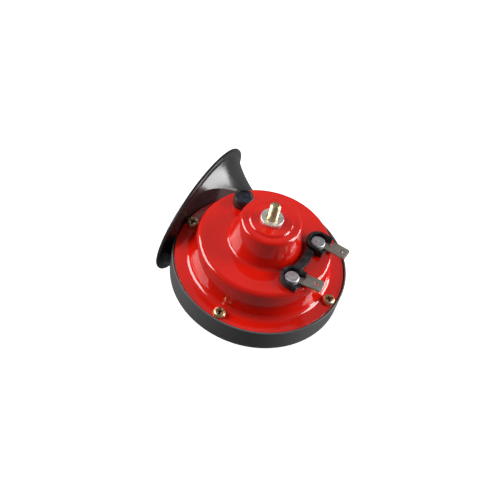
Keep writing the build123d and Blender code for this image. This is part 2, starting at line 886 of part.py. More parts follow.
blade_end = contact_along + contact_radius + blade_end_past_contact
tongue_root = breaker_point(tongue_along, 0, blade_under)
tongue_reach = hypot(tongue_root[0], tongue_root[1]) - armature_radius + tongue_over_armature
arm_end = screw_along + arm_end_past_screw
for name, bottom, height, width, end in (
    ("breaker_blade", blade_under, blade_thickness, blade_width, blade_end),
    ("breaker_fixed_arm", arm_under, arm_thickness, arm_width, arm_end),
):
    start = -block_length / 2 - tail_length
    with BuildPart() as spring:
        with BuildSketch(breaker_plane(bottom)):
            with Locations(((start + end) / 2, 0)):
                Rectangle(end - start, width)
            if name == "breaker_blade":
                with Locations((tongue_along, -tongue_reach / 2)):
                    Rectangle(tongue_width, tongue_reach)
            with rivet_alongs:
                Circle(breaker_rivet_radius + breaker_rivet_air_gap, mode=Mode.SUBTRACT)
        extrude(amount=height)
    finish(spring.part, name)

contact_place = (breaker_point(contact_along, 0, 0)[:2],)
finish(disc(arm_top, contact_height, contact_radius, places=contact_place), "fixed_contact")
finish(
    disc(arm_top + contact_height, contact_height, contact_radius, places=contact_place),
    "moving_contact",
)

with BuildPart() as breaker_rivets:
    with BuildSketch(breaker_plane(clamp_under)):
        with rivet_alongs:
            Circle(breaker_rivet_radius)
    extrude(amount=bracket_top - clamp_under)
    with BuildSketch(breaker_plane(bracket_top)):
        with rivet_alongs:
            Circle(breaker_rivet_head_radius)
    extrude(amount=breaker_rivet_head_height)
    with BuildSketch(breaker_plane(clamp_under)):
        with rivet_alongs:
            Circle(breaker_rivet_head_radius)
    extrude(amount=-breaker_rivet_head_height)
finish(breaker_rivets.part, "breaker_rivets")


# =====================================================================================
# Wires: coil to the first tag, coil to the blade's tail, fixed arm's tail to the second tag.
# =====================================================================================
wire_level = tag_under - wire_radius
tail_along = -block_length / 2 - tail_length / 2
tag_ends = [
    (x + tag_tail_length * cos(heading), y + tag_tail_length * sin(heading), wire_level)
    for (x, y), heading in zip(terminal_places, tag_headings)
]
blade_tail = breaker_point(tail_along, 0, blade_top + wire_radius)
arm_tail = breaker_point(tail_along, 0, arm_under - wire_radius)
blade_lead_turn = (
    blade_lead_radius * cos(radians(blade_lead_angle)),
    blade_lead_radius * sin(radians(blade_lead_angle)),
)
blade_tail_inner = breaker_point(tail_along, -block_width, blade_top + wire_radius)
for name, route in (
    ("coil_lead_1", [(*lead_places[0], coil_under), (*lead_places[0], wire_level), tag_ends[0]]),
    (
        "coil_lead_2",
        [
            (*lead_places[1], coil_under),
            (*lead_places[1], wire_level),
            (*blade_lead_turn, wire_level),
            blade_tail_inner,
            blade_tail,
        ],
    ),
    (
        "breaker_lead",
        [
            arm_tail,
            (*breaker_lead_turns[0], arm_under - wire_radius),
            (*breaker_lead_turns[1], arm_top),
            (*breaker_lead_turns[2], blade_top),
            (*breaker_lead_turns[3], wire_level),
            tag_ends[1],
        ],
    ),
):
    with BuildPart() as wire:
        with BuildLine() as wire_line:
            FilletPolyline(*route, radius=wire_bend)
        with BuildSketch(Plane(origin=route[0], z_dir=wire_line.line % 0)):
            Circle(wire_radius)
        sweep()
    finish(wire.part, name)
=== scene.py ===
import json
import math
import bmesh
import bpy
from mathutils import Matrix, Vector


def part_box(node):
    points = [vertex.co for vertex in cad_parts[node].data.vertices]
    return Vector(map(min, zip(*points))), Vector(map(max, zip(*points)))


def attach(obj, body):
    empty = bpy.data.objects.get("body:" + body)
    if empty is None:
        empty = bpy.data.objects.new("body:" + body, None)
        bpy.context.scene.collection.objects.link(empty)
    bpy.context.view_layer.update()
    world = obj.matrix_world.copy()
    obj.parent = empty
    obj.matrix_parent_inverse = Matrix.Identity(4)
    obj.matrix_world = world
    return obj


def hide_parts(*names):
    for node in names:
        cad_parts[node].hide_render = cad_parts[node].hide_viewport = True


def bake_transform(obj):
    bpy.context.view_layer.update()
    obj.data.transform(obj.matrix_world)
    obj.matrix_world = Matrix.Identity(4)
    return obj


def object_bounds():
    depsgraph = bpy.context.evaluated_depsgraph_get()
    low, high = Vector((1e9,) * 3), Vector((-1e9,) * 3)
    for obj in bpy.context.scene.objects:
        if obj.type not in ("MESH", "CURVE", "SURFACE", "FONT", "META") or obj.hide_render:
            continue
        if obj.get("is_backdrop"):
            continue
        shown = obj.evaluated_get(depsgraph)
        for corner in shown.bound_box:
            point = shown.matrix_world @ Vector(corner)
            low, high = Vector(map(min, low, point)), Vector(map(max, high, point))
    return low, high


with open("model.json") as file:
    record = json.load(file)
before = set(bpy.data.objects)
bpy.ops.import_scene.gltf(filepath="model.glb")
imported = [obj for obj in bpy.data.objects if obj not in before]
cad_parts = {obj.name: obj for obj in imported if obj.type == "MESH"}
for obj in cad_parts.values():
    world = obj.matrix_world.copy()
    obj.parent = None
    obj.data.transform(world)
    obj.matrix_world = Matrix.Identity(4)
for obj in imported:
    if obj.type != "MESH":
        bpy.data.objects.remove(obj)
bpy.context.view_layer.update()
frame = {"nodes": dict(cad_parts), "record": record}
nodes = frame["nodes"]
print("stage: frame loaded,", len(nodes), "nodes")

mm = 0.001  # sizes below are in millimetres, meshes are scaled to metres when they are made
flangeTop = -33.1  # the cover's flange, below the washer's outer face
weldGap = 1e-5  # in mm, between points that are one
joinGap = 1e-3  # in mm, where two skins meet
copyGap = 1e-6  # in m, in a copy of a node's loose triangles
flatAngle = 0.5  # degrees, below which a copy's neighbouring faces are one flat


class Signal:
    # a socket that takes part in sums as a number does
    def __init__(self, sheet, socket):
        self.sheet = sheet
        self.socket = socket

    def maths(self, operation, *values):
        made = self.sheet.node("ShaderNodeMath", {"operation": operation}, dict(enumerate(values)))
        return Signal(self.sheet, made.outputs[0])

    def __add__(self, other):
        return self.maths("ADD", self, other)

    def __radd__(self, other):
        return self.maths("ADD", other, self)

    def __sub__(self, other):
        return self.maths("SUBTRACT", self, other)

    def __rsub__(self, other):
        return self.maths("SUBTRACT", other, self)

    def __mul__(self, other):
        return self.maths("MULTIPLY", self, other)

    def __rmul__(self, other):
        return self.maths("MULTIPLY", other, self)

    def __truediv__(self, other):
        return self.maths("DIVIDE", self, other)

    def __pow__(self, other):
        return self.maths("POWER", self, other)

    def __rpow__(self, other):
        return self.maths("POWER", other, self)


class Sheet:
    # a node tree and the ways to write on it
    def __init__(self, tree):
        self.tree = tree

    def node(self, kind, settings=None, values=None):
        made = self.tree.nodes.new(kind)
        for key, value in (settings or {}).items():
            setattr(made, key, value)
        for key, value in (values or {}).items():
            if isinstance(value, Signal):
                value = value.socket
            if isinstance(value, bpy.types.NodeSocket):
                self.tree.links.new(value, made.inputs[key])
            else:
                made.inputs[key].default_value = value
        return made

    def signal(self, made, output=0):
        return Signal(self, made.outputs[output])

    def noise(self, scale, detail=3.0, rough=0.5, stretch=None, distortion=0.0):
        where = self.node("ShaderNodeTexCoord").outputs["Object"]
        if stretch:
            scaled = self.node("ShaderNodeMapping", None, {"Vector": where, "Scale": stretch})
            where = scaled.outputs[0]
        made = self.node("ShaderNodeTexNoise", None, {
            "Vector": where, "Scale": scale, "Detail": detail, "Roughness": rough,
            "Distortion": distortion,
        })
        return self.signal(made, "Fac")

    def span(self, value, low, high, toLow=0.0, toHigh=1.0):
        made = self.node("ShaderNodeMapRange", {"interpolation_type": "SMOOTHSTEP"}, {
            "Value": value, "From Min": low, "From Max": high, "To Min": toLow, "To Max": toHigh,
        })
        return self.signal(made)

    def blend(self, factor, first, second):
        # colours are plain triples or links
        inputs = {0: factor}
        for index, colour in ((6, first), (7, second)):
            inputs[index] = (*colour, 1) if isinstance(colour, tuple) else colour
        return self.node("ShaderNodeMix", {"data_type": "RGBA"}, inputs).outputs[2]

    def bump(self, height, strength, depth):
        made = self.node("ShaderNodeBump", None, {
            "Height": height, "Strength": strength, "Distance": depth,
        })
        return made.outputs[0]


def material(name, write, look):
    # write gives what varies over the surface, "shader" what is the same all over
    made = bpy.data.materials.new(name)
    made.use_nodes = True
    made.node_tree.nodes.clear()
    sheet = Sheet(made.node_tree)
    surface = sheet.node("ShaderNodeBsdfPrincipled", None, {**look["shader"], **write(sheet, look)})
    sheet.node("ShaderNodeOutputMaterial", None, {"Surface": surface.outputs[0]})
    return made


middle = (0.3, 0.7)  # most of a noise lies between these

enamel = {
    "deep": (0.52, 0.005, 0.002), "bright": (0.80, 0.009, 0.002), "speck": (0.30, 0.004, 0.004),
    "cloudScale": 70, "cloudSpan": (0.25, 0.75), "cloudShare": (0.75, 1.0), "rough": (0.26, 0.34),
    "speckScale": 2600, "speckSpan": (0.70, 0.78), "speckShare": 0.15,
    "peelScale": 900, "peelShare": 0.7, "bump": 0.05, "depth": 0.0004,
    "shader": {
        "Coat Weight": 1.0, "Coat Roughness": 0.05, "Coat IOR": 1.65, "Specular IOR Level": 0.1,
    },
}


def writeEnamel(sheet, look):
    cloud = sheet.noise(look["cloudScale"], detail=4)
    peel = sheet.noise(look["peelScale"], detail=2)
    speck = sheet.span(sheet.noise(look["speckScale"], detail=2), *look["speckSpan"])
    shade = sheet.span(cloud, *look["cloudSpan"], *look["cloudShare"])
    red = sheet.blend(shade, look["deep"], look["bright"])
    height = peel * look["peelShare"] + cloud * (1 - look["peelShare"])
    return {
        "Base Color": sheet.blend(speck * look["speckShare"], red, look["speck"]),
        "Roughness": sheet.span(cloud, *middle, *look["rough"]),
        "Normal": sheet.bump(height, look["bump"], look["depth"]),
    }


# the skirt band's grey base colour is painted sheen, standing in for light the skirt throws back;
# its extra roughness is the skirt's real finish
moulding = {
    "dark": (0.020, 0.020, 0.0205), "worn": (0.050, 0.050, 0.052), "satin": (0.12, 0.12, 0.123),
    "flowScale": 45, "grainScale": 1500, "scuffScale": 260, "scuffStretch": (1, 1, 5),
    "scuffSpan": (0.60, 0.72), "flowShare": 0.6, "scuffShare": 0.4,
    "rough": (0.16, 0.24), "scuffRough": 0.12, "satinRough": 0.22, "bump": 0.06, "depth": 0.0003,
    "bandInner": 39.7, "bandOuter": 41.5, "bandEdge": 0.2,
    "bandLow": -46.0, "lowEdge": 0.5, "bandEnd": -34.0, "endEdge": 2.0,
    "shader": {"IOR": 1.47},
}


def skirtBand(sheet, look):
    # one on the skirt, nought on the polished trumpet; it carries the skirt's rougher finish and
    # its painted sheen
    place = sheet.node("ShaderNodeSeparateXYZ", None, {
        0: sheet.node("ShaderNodeTexCoord").outputs["Object"],
    })
    x, y, z = (sheet.signal(place, axis) for axis in range(3))
    reach = (x * x + y * y) ** 0.5
    half = look["bandEdge"] / 2
    inner = sheet.span(reach, (look["bandInner"] - half) * mm, (look["bandInner"] + half) * mm)
    outer = sheet.span(reach, look["bandOuter"] * mm, (look["bandOuter"] + look["bandEdge"]) * mm)
    above = sheet.span(z, (look["bandLow"] - look["lowEdge"]) * mm, look["bandLow"] * mm)
    clear = sheet.span(x, (look["bandEnd"] - look["endEdge"]) * mm, look["bandEnd"] * mm)
    return inner * (1 - outer) * above * clear


def writeMoulding(sheet, look):
    flow = sheet.noise(look["flowScale"], detail=5, rough=0.55)
    grain = sheet.noise(look["grainScale"])
    scuff = sheet.noise(look["scuffScale"], detail=6, rough=0.7, stretch=look["scuffStretch"])
    scuff = sheet.span(scuff, *look["scuffSpan"])
    band = skirtBand(sheet, look)
    wear = sheet.span(flow, *middle) * look["flowShare"] + scuff * look["scuffShare"]
    plain = sheet.blend(wear, look["dark"], look["worn"])
    rough = sheet.span(flow, *middle, *look["rough"])
    return {
        # painted sheen: the skirt band's colour is lifted to grey
        "Base Color": sheet.blend(band, plain, look["satin"]),
        "Roughness": rough + scuff * look["scuffRough"] + band * look["satinRough"],
        "Normal": sheet.bump(grain, look["bump"], look["depth"]),
    }


# the dark brown recess colour is painted shade in the screws' cross recesses
zinc = {
    "gold": (0.70, 0.50, 0.22), "pale": (0.92, 0.80, 0.52), "green": (0.47, 0.60, 0.38),
    "brown": (0.40, 0.28, 0.14), "recessShade": (0.10, 0.055, 0.02),
    "bandScale": 520, "distortion": 0.8, "paleSpan": (0.35, 0.62), "rough": (0.30, 0.44),
    "greenScale": 800, "greenSpan": (0.52, 0.7), "greenShare": 0.55,
    "fineScale": 4200, "brownSpan": (0.62, 0.78), "brownShare": 0.5,
    "recessShadeRough": 0.3, "bump": 0.10, "depth": 0.0003,
    "shader": {"Metallic": 1.0},
}


def writeZinc(sheet, look):
    bands = sheet.noise(look["bandScale"], detail=4, rough=0.6, distortion=look["distortion"])
    fine = sheet.noise(look["fineScale"])
    plating = sheet.blend(sheet.span(bands, *look["paleSpan"]), look["gold"], look["pale"])
    for noise, name in ((sheet.noise(look["greenScale"], detail=2), "green"), (fine, "brown")):
        cast = sheet.span(noise, *look[name + "Span"]) * look[name + "Share"]
        plating = sheet.blend(cast, plating, look[name])
    # painted shade: the marked cross recess is darkened to brown and made rougher
    recessShade = sheet.signal(sheet.node("ShaderNodeAttribute", {"attribute_name": "recessShade"}), "Fac")
    return {
        "Base Color": sheet.blend(recessShade, plating, look["recessShade"]),
        "Roughness": sheet.span(bands, *middle, *look["rough"]) + recessShade * look["recessShadeRough"],
        "Normal": sheet.bump(fine, look["bump"], look["depth"]),
    }


tinned = {
    "dark": (0.36, 0.32, 0.28), "pale": (0.52, 0.48, 0.43), "stain": (0.28, 0.23, 0.18),
    "rolledScale": 700, "stretch": (1, 9, 1), "stainScale": 330, "stainSpan": (0.55, 0.72),
    "stainShare": 0.5, "rough": (0.36, 0.5), "bump": 0.1, "depth": 0.0003,
    "shader": {"Metallic": 0.85},
}


def writeTinned(sheet, look):
    rolled = sheet.noise(look["rolledScale"], detail=4, rough=0.55, stretch=look["stretch"])
    stain = sheet.noise(look["stainScale"], detail=4)
    share = sheet.span(stain, *look["stainSpan"]) * look["stainShare"]
    plain = sheet.blend(sheet.span(rolled, *middle), look["dark"], look["pale"])
    return {
        "Base Color": sheet.blend(share, plain, look["stain"]),
        "Roughness": sheet.span(stain, *middle, *look["rough"]),
        "Normal": sheet.bump(rolled, look["bump"], look["depth"]),
    }


mottle = {
    "span": middle, "detail": 4, "crumble": 0.6, "stretch": None, "distortion": 0.0,
    "fineScale": None, "fineShare": 0.0, "fineDetail": 2, "fineCrumble": 0.5,
    "bump": 0.15, "depth": 0.0003, "shader": {},
}
phenolic = {
    **mottle, "dark": (0.018, 0.018, 0.020), "pale": (0.056, 0.055, 0.059), "rough": (0.16, 0.30),
    "scale": 300, "detail": 3, "crumble": 0.5, "span": (0.35, 0.7),
    "fineScale": 2200, "fineShare": 1.0, "fineDetail": 4, "fineCrumble": 0.6, "bump": 0.08,
    "shader": {"IOR": 1.32},
}
steel = {
    **mottle, "dark": (0.80, 0.78, 0.74), "pale": (0.97, 0.95, 0.90), "rough": (0.20, 0.36),
    "scale": 900, "detail": 5, "stretch": (1, 7, 1), "fineScale": 5200, "fineShare": 0.4,
    "bump": 0.12, "shader": {"Metallic": 0.7},
}
aluminium = {
    **mottle, "dark": (0.46, 0.46, 0.50), "pale": (0.82, 0.82, 0.86), "rough": (0.38, 0.55),
    "scale": 1100, "fineScale": 6000, "fineShare": 0.2, "bump": 0.35, "depth": 0.0005,
    "shader": {"Metallic": 0.9},
}
rubber = {
    **mottle, "dark": (0.02, 0.02, 0.02), "pale": (0.05, 0.05, 0.05), "rough": (0.6, 0.8),
    "scale": 1800,
}
spring = {
    **mottle, "dark": (0.40, 0.41, 0.44), "pale": (0.62, 0.63, 0.66), "rough": (0.2, 0.35),
    "scale": 800, "shader": {"Metallic": 1.0},
}
copper = {
    **mottle, "dark": (0.55, 0.20, 0.08), "pale": (0.74, 0.33, 0.16), "rough": (0.18, 0.3),
    "scale": 1200, "shader": {"Metallic": 1.0},
}
iron = {
    **mottle, "dark": (0.22, 0.22, 0.23), "pale": (0.40, 0.40, 0.42), "rough": (0.35, 0.5),
    "scale": 700, "shader": {"Metallic": 1.0},
}
board = {
    **mottle, "dark": (0.12, 0.055, 0.025), "pale": (0.24, 0.12, 0.06), "rough": (0.5, 0.7),
    "scale": 900,
}
resin = {
    **mottle, "dark": (0.008, 0.009, 0.02), "pale": (0.035, 0.035, 0.07), "rough": (0.06, 0.16),
    "scale": 420, "detail": 3, "crumble": 0.5, "distortion": 1.5, "span": (0.4, 0.65),
    "bump": 0.35, "depth": 0.0006, "shader": {"Coat Weight": 0.6, "Coat Roughness": 0.05},
}


def writeMottled(sheet, look):
    # two shades that follow one noise, with a finer one in the bump where it has a scale
    cloud = sheet.noise(
        look["scale"], look["detail"], look["crumble"], look["stretch"], look["distortion"]
    )
    height = cloud
    if look["fineScale"]:
        fine = sheet.noise(look["fineScale"], look["fineDetail"], look["fineCrumble"])
        height = cloud * (1 - look["fineShare"]) + fine * look["fineShare"]
    return {
        "Base Color": sheet.blend(sheet.span(cloud, *look["span"]), look["dark"], look["pale"]),
        "Roughness": sheet.span(cloud, *middle, *look["rough"]),
        "Normal": sheet.bump(height, look["bump"], look["depth"]),
    }


finishes = {
    "red_enamel": material("redEnamel", writeEnamel, enamel),
    "black_moulding": material("blackMoulding", writeMoulding, moulding),
    "black_insulator": material("blackPhenolic", writeMottled, phenolic),
    "yellow_zinc": material("yellowZinc", writeZinc, zinc),
    "bright_steel": material("brightSteel", writeMottled, steel),
    "rivet_aluminium": material("rivetAluminium", writeMottled, aluminium),
    "tab_brass": material("tinnedBrass", writeTinned, tinned),
    "gasket_rubber": material("gasketRubber", writeMottled, rubber),
    "spring_steel": material("springSteel", writeMottled, spring),
    "copper_wire": material("copperWire", writeMottled, copper),
    "soft_iron": material("softIron", writeMottled, iron),
    "brown_board": material("brownBoard", writeMottled, board),
}
sealResin = material("sealResin", writeMottled, resin)

slotOf = {part["node"]: part["material_slot"] for part in frame["record"]["subparts"]}
for name, node in nodes.items():
    node.data.materials.clear()
    node.data.materials.append(finishes[slotOf[name]])
print("stage: finishes written")


def meshObject(name, mesh=None):
    made = bpy.data.objects.new(name, mesh or bpy.data.meshes.new(name))
    bpy.context.scene.collection.objects.link(made)
    return made


def fromBmesh(name, form, scale=mm):
    mesh = bpy.data.meshes.new(name)
    bmesh.ops.remove_doubles(form, verts=form.verts, dist=weldGap)
    bmesh.ops.recalc_face_normals(form, faces=form.faces)
    form.to_mesh(mesh)
    form.free()
    mesh.transform(Matrix.Scale(scale, 4))
    return meshObject(name, mesh)


def applied(piece):
    # the modifiers' result as a plain mesh
    graph = bpy.context.evaluated_depsgraph_get()
    mesh = bpy.data.meshes.new_from_object(piece.evaluated_get(graph))
    piece.modifiers.clear()
    old = piece.data
    piece.data = mesh
    if old.users == 0:
        bpy.data.meshes.remove(old)
    return piece


def combine(piece, operation, *tools):
    for tool in tools:
        cut = piece.modifiers.new("cut", "BOOLEAN")
        cut.operation = operation
        cut.solver = "MANIFOLD"
        cut.object = tool
        applied(piece)


def discard(*tools):
    for tool in tools:
        bpy.data.objects.remove(tool)


def dress(piece, finish, crease=34.0):
    mesh = piece.data
    mesh.materials.clear()
    mesh.materials.append(finish)
    mesh.polygons.foreach_set("material_index", [0] * len(mesh.polygons))
    mesh.polygons.foreach_set("use_smooth", [True] * len(mesh.polygons))
    mesh.set_sharp_from_angle(angle=math.radians(crease))


def soften(piece, width, segments=2, angle=40.0):
    edge = piece.modifiers.new("edge", "BEVEL")
    edge.width = width * mm
    edge.segments = segments
    edge.limit_method = "ANGLE"
    edge.angle_limit = math.radians(angle)
    edge.harden_normals = False
    applied(piece)


def standsFor(piece, name):
    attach(piece, "housing")
    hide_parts(name)


def roundedPath(corners, steps=8):
    # corners are (x, z, radius), and the ends have no radius
    path = []
    for index, (x, z, radius) in enumerate(corners):
        corner = Vector((x, z))
        if not radius:
            path.append(corner)
            continue
        back = (Vector(corners[index - 1][:2]) - corner).normalized()
        ahead = (Vector(corners[(index + 1) % len(corners)][:2]) - corner).normalized()
        half = back.angle(ahead) / 2
        centre = corner + (back + ahead).normalized() * radius / math.sin(half)
        first = corner + back * radius / math.tan(half) - centre
        last = corner + ahead * radius / math.tan(half) - centre
        for step in range(steps + 1):
            path.append(centre + first.slerp(last, step / steps) * radius)
    return path


def spun(form, path, segments, closed=False, centre=(0, 0)):
    # a path of (radius, z) taken round the axis, a point on the axis staying one point
    rings = []
    for radius, z in path:
        ring = []
        for index in range(segments if radius > joinGap else 1):
            turn = 2 * math.pi * index / segments
            x, y = centre[0] + radius * math.cos(turn), centre[1] + radius * math.sin(turn)
            ring.append(form.verts.new((x, y, z)))
        rings.append(ring)
    following = rings[1:] + rings[:1] if closed else rings[1:]
    for ring, after in zip(rings, following):
        for index in range(segments):
            corners = []
            for vertex in (ring[index % len(ring)], ring[(index + 1) % len(ring)],
                           after[(index + 1) % len(after)], after[index % len(after)]):
                if vertex not in corners:
                    corners.append(vertex)
            if len(corners) > 2:
                form.faces.new(corners)


def turned(name, corners, segments, closed=False, centre=(0, 0), steps=8):
    form = bmesh.new()
    path = [(point.x, point.y) for point in roundedPath(corners, steps)]
    spun(form, path, segments, closed, centre)
    return fromBmesh(name, form)


def cylinder(name, radius, low, high, segments, centre=(0, 0)):
    outline = [(0, low, 0), (radius, low, 0), (radius, high, 0), (0, high, 0)]
    return turned(name, outline, segments, centre=centre)


def bridge(form, rings, capped=True):
    # a skin from each ring of points to the next, its two ends closed
    if capped:
        form.faces.new(rings[0])
        form.faces.new(rings[-1])
    for ring, after in zip(rings, rings[1:]):
        for index in range(len(ring)):
            ahead = (index + 1) % len(ring)
            form.faces.new((ring[index], ring[ahead], after[ahead], after[index]))


def closeHoles(form):
    bmesh.ops.holes_fill(form, edges=[edge for edge in form.edges if edge.is_boundary], sides=0)


def startTree(name, **inputs):
    # a geometry tree with named inputs, and what its author writes with
    tree = bpy.data.node_groups.new(name, "GeometryNodeTree")
    for label, kind in inputs.items():
        tree.interface.new_socket(label, in_out="INPUT", socket_type="NodeSocket" + kind)
    tree.interface.new_socket("material", in_out="INPUT", socket_type="NodeSocketMaterial")
    tree.interface.new_socket("Geometry", in_out="OUTPUT", socket_type="NodeSocketGeometry")
    sheet = Sheet(tree)
    given = sheet.node("NodeGroupInput")
    return sheet, {socket.name: Signal(sheet, socket) for socket in given.outputs if socket.name}


def endTree(sheet, geometry, finish):
    real = sheet.node("GeometryNodeRealizeInstances", None, {"Geometry": geometry})
    done = sheet.node("GeometryNodeSetMaterial", None, {
        "Geometry": real.outputs[0], "Material": finish,
    })
    sheet.node("NodeGroupOutput", None, {0: done.outputs[0]})
    return sheet.tree


def unitGrid(sheet, rows, columns):
    # a flat grid to be bent, and each point's share of the way along it and across it
    grid = sheet.node("GeometryNodeMeshGrid", None, {
        "Size X": 1.0, "Size Y": 1.0, "Vertices X": rows, "Vertices Y": columns,
    })
    place = sheet.node("ShaderNodeSeparateXYZ", None, {
        0: sheet.node("GeometryNodeInputPosition").outputs[0],
    })
    return grid.outputs["Mesh"], sheet.signal(place, "X") + 0.5, sheet.signal(place, "Y") + 0.5


def bent(sheet, grid, x, y, z):
    skin = sheet.node("ShaderNodeCombineXYZ", None, {"X": x, "Y": y, "Z": z})
    moved = sheet.node("GeometryNodeSetPosition", None, {
        "Geometry": grid, "Position": skin.outputs[0],
    })
    return moved.outputs[0]


def grown(piece, tree, values):
    # runs a tree on a piece, its inputs set by their identifiers
    runs = piece.modifiers.new("grow", "NODES")
    runs.node_group = tree
    for item in tree.interface.items_tree:
        if item.in_out == "INPUT" and item.name in values:
            runs[item.identifier] = values[item.name]
    return applied(piece)


# the cover is one turned skin with the sheet's thickness inside
cover = {
    "flange": 40.0, "drumBase": 32.4, "drumTop": 31.4, "drumRise": 16.0, "bossBase": 16.9,
    "bossTop": 13.9, "bossRise": 14.9, "pad": 9.6, "padRise": 0.7, "padRun": 0.8,
    "baseFillet": 3.0, "topFillet": 2.5, "bossFillet": 2.0, "padFillet": 1.12,
    "sheet": 1.0, "edge": 0.22, "edgeSegments": 3, "edgeAngle": 60,
    "around": 256, "filletSteps": 12,
}


def makeCover(c):
    drumTop = flangeTop + c["drumRise"]
    bossTop = drumTop + c["bossRise"]
    padTop = bossTop + c["padRise"]
    piece = turned("coverShell", [
        (c["flange"], flangeTop, 0),
        (c["drumBase"], flangeTop, c["baseFillet"]),
        (c["drumTop"], drumTop, c["topFillet"]),
        (c["bossBase"], drumTop, c["bossFillet"]),
        (c["bossTop"], bossTop, c["bossFillet"]),
        (c["pad"] + c["padRun"], bossTop, c["padFillet"]),
        (c["pad"], padTop, c["padFillet"]),
        (0, padTop, 0),
    ], segments=c["around"], steps=c["filletSteps"])
    if piece.data.polygons[0].normal.z < 0:
        piece.data.flip_normals()
    wall = piece.modifiers.new("sheet", "SOLIDIFY")
    wall.thickness = c["sheet"] * mm
    wall.offset = -1
    wall.use_even_offset = True
    applied(piece)
    soften(piece, c["edge"], c["edgeSegments"], c["edgeAngle"])
    dress(piece, finishes["red_enamel"])
    standsFor(piece, "cover")


makeCover(cover)
print("stage: cover made")

# the trumpet is a winding channel that flares into the bell, moulded in two halves
channel = {
    "wall": 1.6, "roof": 0.5, "throat": 3.0, "exit": 12.2, "exitY": 26.0, "blind": 2.0,
    "startBend": 6.0, "innerTurn": 11.0, "outerTurn": 21.5, "around": 144, "stations": 110,
}
bell = {
    "mouthX": -42.5, "mouthY": 16.7, "mouthZ": flangeTop - 8.0, "halfWidth": 38.3,
    "halfHeight": 26.8, "widthGrowth": 2.04, "heightGrowth": 2.47,
    "stations": 56, "overrun": 1.0, "lipReach": 0.1,
    "beadRise": 1.0, "beadDepth": 1.7, "beadRound": 0.6, "beadPlate": 10.0, "beadSteps": 6,
}
dish = {
    "seat": -2.3, "floorTop": -5.3, "floorUnder": -7.3, "chamber": 35.0, "bellWall": 41.6,
    "lipIn": 40.3, "lipInRound": 0.2, "lip": 41.2, "lipRise": 0.4, "lipRound": 0.35,
    "skirtFoot": 40.6, "skirtDepth": 12.0, "skirtWall": 1.4, "footRound": 0.5, "footInRound": 0.4,
    "skirtRoot": 39.43, "rootRound": 0.5, "around": 256, "roundSteps": 6,
}
seam = {
    "z": flangeTop - 12.6, "neck": 6.0, "bend": 25.0, "clearance": 0.6, "reach": 90.0, "gap": 0.08,
}
trumpetCrease = 30  # degrees


def bellTree():
    # a grid bent into the flaring skin: each of its two growth laws is exponential
    names = ("mouthX", "mouthY", "mouthZ", "exitY", "exitZ", "exitRadius", "halfWidth",
             "halfHeight", "widthGrowth", "heightGrowth")
    floats = dict.fromkeys(names, "Float")
    sheet, size = startTree("bellFlare", **floats, stations="Int", around="Int")
    grid, share, part = unitGrid(sheet, size["stations"], size["around"])
    turn = part * (2 * math.pi)

    def flare(growth):
        return (math.e ** (growth * share) - 1) / (math.e ** growth - 1)

    across = flare(size["widthGrowth"])
    up = flare(size["heightGrowth"])
    width = size["exitRadius"] + (size["halfWidth"] - size["exitRadius"]) * across
    height = size["exitRadius"] + (size["halfHeight"] - size["exitRadius"]) * up
    centreY = size["exitY"] + (size["mouthY"] - size["exitY"]) * across
    centreZ = size["exitZ"] + (size["mouthZ"] - size["exitZ"]) * up
    y = centreY - width * turn.maths("COSINE", turn)
    z = centreZ + height * turn.maths("SINE", turn)
    return endTree(sheet, bent(sheet, grid, size["mouthX"] * share, y, z), size["material"])


def channelRing(distance, wall, c, length):
    # the centre line: a quarter turn, a half turn and a wider half turn
    outerY = c["exitY"] - c["outerTurn"]
    innerY = outerY - c["outerTurn"] + c["innerTurn"]
    startY = innerY + c["innerTurn"] - c["startBend"]
    bends = ((c["startBend"], startY, 0.0, 0.5), (c["innerTurn"], innerY, 0.5, 1.0),
             (c["outerTurn"], outerY, -0.5, 1.0))
    growth = math.log(c["exit"] / c["throat"]) / length
    air = c["throat"] * math.exp(growth * max(distance, 0))
    centreZ = flangeTop + dish["floorUnder"] - c["roof"] - air
    x, y, heading = c["startBend"], startY + min(distance, 0), math.pi / 2
    left = distance
    for radius, centreY, start, turns in bends:
        if left < 0:
            break
        angle = start * math.pi + min(left / radius, turns * math.pi)
        x, y = radius * math.cos(angle), centreY + radius * math.sin(angle)
        heading = angle + math.pi / 2
        left -= turns * math.pi * radius
    centre = Vector((x, y, centreZ))
    side = Vector((-math.sin(heading), math.cos(heading), 0)) * (air + wall)
    lift = Vector((0, 0, air + wall))
    turns = [2 * math.pi * index / c["around"] for index in range(c["around"])]
    return [centre + side * math.cos(turn) + lift * math.sin(turn) for turn in turns]


def skinSolid(name, wall, start, overrun, c, b, tree):
    length = math.pi * (c["startBend"] / 2 + c["innerTurn"] + c["outerTurn"])
    outset = wall - b["beadRise"] - c["wall"]
    exitZ = flangeTop + dish["floorUnder"] - c["roof"] - c["exit"]
    piece = grown(meshObject(name), tree, {
        "mouthX": b["mouthX"], "mouthY": b["mouthY"], "mouthZ": b["mouthZ"],
        "exitY": c["exitY"], "exitZ": exitZ, "exitRadius": c["exit"] + wall,
        "halfWidth": b["halfWidth"] + outset, "halfHeight": b["halfHeight"] + outset,
        "widthGrowth": b["widthGrowth"], "heightGrowth": b["heightGrowth"],
        "stations": b["stations"], "around": c["around"] + 1,
        "material": finishes["black_moulding"],
    })
    form = bmesh.new()
    form.from_mesh(piece.data)
    discard(piece)
    rings = []
    for index in range(c["stations"] + 1):
        distance = start + (length - start) * index / c["stations"]
        rings.append([form.verts.new(point) for point in channelRing(distance, wall, c, length)])
    bridge(form, rings, capped=False)
    bmesh.ops.remove_doubles(form, verts=form.verts, dist=joinGap)
    if overrun:
        edges = [edge for edge in form.edges if edge.is_boundary]
        lips = [edge for edge in edges if edge.verts[0].co.x < b["mouthX"] + b["lipReach"]]
        for item in bmesh.ops.extrude_edge_only(form, edges=lips)["geom"]:
            if isinstance(item, bmesh.types.BMVert):
                item.co.x -= overrun
    closeHoles(form)
    return fromBmesh(name, form)


